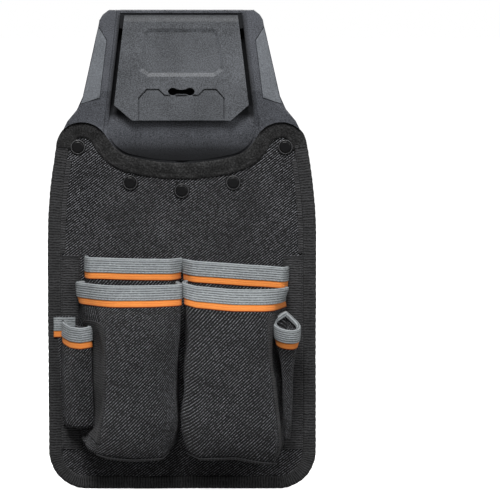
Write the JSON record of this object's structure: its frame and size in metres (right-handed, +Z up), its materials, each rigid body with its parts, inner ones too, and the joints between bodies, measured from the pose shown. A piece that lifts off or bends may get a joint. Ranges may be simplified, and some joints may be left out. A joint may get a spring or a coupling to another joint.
{
  "type": "electrician tool pouch",
  "caption": "Black fabric tool pouch with tiered open pockets, side pocket, tool loop, grey and orange webbing trims, plastic hanging bracket and quick-release belt clip.",
  "frame": {"origin": "centre of the belt slot in the clip the pouch hangs from", "axes": "+X to the right as seen from the front, +Z up, the pouch's front faces -Y and the wearer is on the +Y side"},
  "size_m": [0.2074, 0.0782, 0.374],
  "materials": {
    "ballistic_fabric": "coarse black ballistic weave",
    "lining_fabric": "plain black woven lining",
    "stiffener": "plain black board",
    "binding_tape": "black felted binding tape",
    "black_webbing": "black ribbed webbing",
    "grey_webbing": "grey ribbed webbing",
    "orange_webbing": "bright orange ribbed webbing",
    "bracket_plastic": "dark satin moulded plastic",
    "grip_texture": "dark plastic with a fine grain",
    "plate_plastic": "dark matt moulded plastic",
    "rivet_metal": "black lacquered",
    "clip_plastic": "mid grey moulded plastic",
    "arm_plastic": "dark grey moulded plastic",
    "latch_plastic": "black moulded plastic with teeth",
    "grip_rubber": "ribbed black rubber",
    "spring_steel": "bright spring steel"
  },
  "bodies": {
    "belt_clip": {"clip_housing": "clip_plastic", "hinge_pin": "spring_steel", "tongue_pin": "spring_steel", "latch_springs": "spring_steel", "arm_springs": "spring_steel"},
    "arm": {"belt_arm": "arm_plastic", "belt_grip_pad": "grip_rubber"},
    "latch": {"gate_latch": "latch_plastic", "latch_catch": "latch_plastic"},
    "tongue": {"spring_tongue": "clip_plastic"},
    "pouch": {"back_panel_fabric": "ballistic_fabric", "bracket": "bracket_plastic", "edge_binding": "binding_tape", "front_pocket_left_face": "ballistic_fabric", "front_pocket_left_gusset_left": "ballistic_fabric", "front_pocket_left_gusset_right": "ballistic_fabric", "front_pocket_left_stripe": "orange_webbing", "front_pocket_left_trim": "grey_webbing", "front_pocket_right_face": "ballistic_fabric", "front_pocket_right_gusset_left": "ballistic_fabric", "front_pocket_right_gusset_right": "ballistic_fabric", "front_pocket_right_stripe": "orange_webbing", "front_pocket_right_trim": "grey_webbing", "grip_insert_left": "grip_texture", "grip_insert_right": "grip_texture", "neckline_binding": "binding_tape", "pocket_bottoms": "ballistic_fabric", "pocket_edge_band_left": "black_webbing", "pocket_edge_band_right": "black_webbing", "rear_lining": "lining_fabric", "rear_pocket_left_face": "ballistic_fabric", "rear_pocket_left_gusset_left": "ballistic_fabric", "rear_pocket_left_gusset_right": "ballistic_fabric", "rear_pocket_left_stripe": "orange_webbing", "rear_pocket_left_trim": "grey_webbing", "rear_pocket_right_face": "ballistic_fabric", "rear_pocket_right_gusset_left": "ballistic_fabric", "rear_pocket_right_gusset_right": "ballistic_fabric", "rear_pocket_right_stripe": "orange_webbing", "rear_pocket_right_trim": "grey_webbing", "rivet_washers": "rivet_metal", "rivets": "rivet_metal", "side_pocket_back": "ballistic_fabric", "side_pocket_bottom": "ballistic_fabric", "side_pocket_face": "ballistic_fabric", "side_pocket_gusset_left": "ballistic_fabric", "side_pocket_gusset_right": "ballistic_fabric", "side_pocket_stripes": "orange_webbing", "side_pocket_trims": "grey_webbing", "side_webbing_left": "black_webbing", "side_webbing_right": "black_webbing", "stiffener_board": "stiffener", "tool_loop_sleeve": "ballistic_fabric", "tool_loop_stripe": "orange_webbing", "tool_loop_tab": "black_webbing", "tool_loop_trim": "grey_webbing", "upper_side_tapes": "black_webbing"},
    "plate": {"front_plate": "plate_plastic", "lock_lug": "plate_plastic"}
  },
  "joints": [
    {"name": "arm_hinge", "type": "hinge", "parent": "belt_clip", "child": "arm", "pos_m": [0, 0.0032, 0.0433], "axis": [1, 0, 0], "range_deg": [0, 60], "stiffness_Nm_per_rad": 0.03, "springref_deg": -17.19, "deforming": ["arm_springs", "latch_catch"]},
    {"name": "latch_slide", "type": "slide", "parent": "belt_clip", "child": "latch", "axis": [0, 0, -1], "range_m": [0, 0.004], "stiffness_N_per_m": 150, "springref_m": -0.003, "deforming": ["latch_springs"]},
    {"name": "tongue_flex", "type": "hinge", "parent": "belt_clip", "child": "tongue", "pos_m": [0, -0.006, 0.0435], "axis": [1, 0, 0], "range_deg": [0, 7], "stiffness_Nm_per_rad": 0.15, "springref_deg": -2.86},
    {"name": "pouch_lift", "type": "slide", "parent": "belt_clip", "child": "pouch", "axis": [0, 0, 1], "range_m": [0, 0.11], "deforming": ["lock_lug"]},
    {"name": "plate_flex", "type": "hinge", "parent": "pouch", "child": "plate", "pos_m": [0, -0.0212, 0.0526], "axis": [-1, 0, 0], "range_deg": [0, 10], "stiffness_Nm_per_rad": 1.5, "springref_deg": -1.72}
  ]
}
